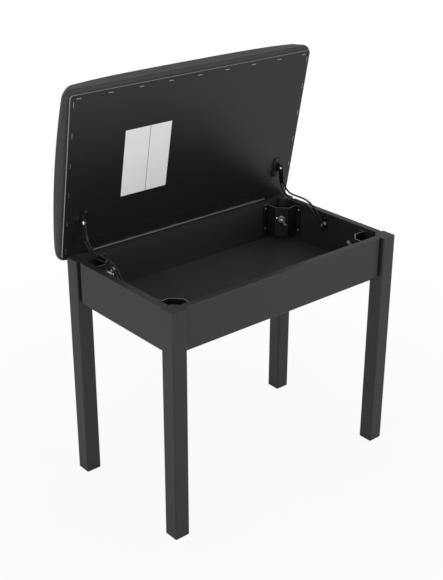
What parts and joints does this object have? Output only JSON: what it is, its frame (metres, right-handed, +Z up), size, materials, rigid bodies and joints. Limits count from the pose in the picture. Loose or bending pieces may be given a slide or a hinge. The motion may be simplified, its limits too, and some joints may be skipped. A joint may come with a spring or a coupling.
{
  "type": "keyboard bench",
  "caption": "Black wooden keyboard bench with fixed square legs, a shallow storage box and a padded flip-top lid on a piano hinge held open by slotted stays.",
  "frame": {"origin": "on the floor, midway between the four legs", "axes": "+X along the long side to the right of someone facing the bench from its front rail, +Y from the front rail to the hinge, +Z up. The lid is stored open"},
  "size_m": [0.577, 0.3604, 0.7822],
  "materials": {
    "lacquered_wood": "black satin lacquer on hardwood",
    "black_hardboard": "black painted hardboard, satin",
    "raw_plywood": "unfinished plywood",
    "foam": "upholstery foam",
    "black_vinyl": "black embossed vinyl, soft sheen",
    "black_steel_sheet": "black coated steel sheet",
    "black_screw": "black coated screws",
    "zinc_steel": "bright zinc plate",
    "staple_wire": "bright galvanised wire"
  },
  "bodies": {
    "base": {"leg_front_left": "lacquered_wood", "leg_front_right": "lacquered_wood", "leg_rear_left": "lacquered_wood", "leg_rear_right": "lacquered_wood", "rail_front": "lacquered_wood", "rail_rear": "lacquered_wood", "rail_left": "lacquered_wood", "rail_right": "lacquered_wood", "floor_panel": "black_hardboard", "floor_staples": "staple_wire", "corner_bracket_front_left": "black_steel_sheet", "corner_bracket_front_right": "black_steel_sheet", "corner_bracket_rear_left": "black_steel_sheet", "corner_bracket_rear_right": "black_steel_sheet", "hanger_bolts": "zinc_steel", "bolt_washers": "zinc_steel", "wing_nuts": "zinc_steel", "bracket_screws": "zinc_steel", "hinge_leaf_rail": "black_steel_sheet", "hinge_pin": "zinc_steel", "hinge_screws_rail": "black_screw", "stay_stud_left": "black_steel_sheet", "stay_stud_right": "black_steel_sheet", "stay_stud_screws": "black_screw"},
    "lid": {"seat_board": "raw_plywood", "foam_pad": "foam", "seat_cover": "black_vinyl", "underside_panel": "black_hardboard", "panel_staples": "staple_wire", "hinge_leaf_lid": "black_steel_sheet", "hinge_screws_lid": "black_screw", "stay_bracket_left": "black_steel_sheet", "stay_bracket_right": "black_steel_sheet", "stay_bracket_screws": "black_screw", "stay_rivets": "zinc_steel"},
    "stay_left": {"stay_arm_left": "black_steel_sheet"},
    "stay_right": {"stay_arm_right": "black_steel_sheet"}
  },
  "joints": [
    {"name": "lid_hinge", "type": "hinge", "parent": "base", "child": "lid", "pos_m": [0, 0.157, 0.455], "axis": [1, 0, 0], "range_deg": [0, 79.3]},
    {"name": "stay_left_pivot", "type": "hinge", "parent": "lid", "child": "stay_left", "pos_m": [-0.2452, 0.13751, 0.52205], "axis": [1, 0, 0], "range_deg": [-113, 0]},
    {"name": "stay_right_pivot", "type": "hinge", "parent": "lid", "child": "stay_right", "pos_m": [0.2452, 0.13751, 0.52205], "axis": [1, 0, 0], "range_deg": [-113, 0]}
  ],
  "couplings": [
    {"joint": "stay_left_pivot", "follows": "lid_hinge", "ratio": -1.4085},
    {"joint": "stay_right_pivot", "follows": "lid_hinge", "ratio": -1.4085}
  ]
}
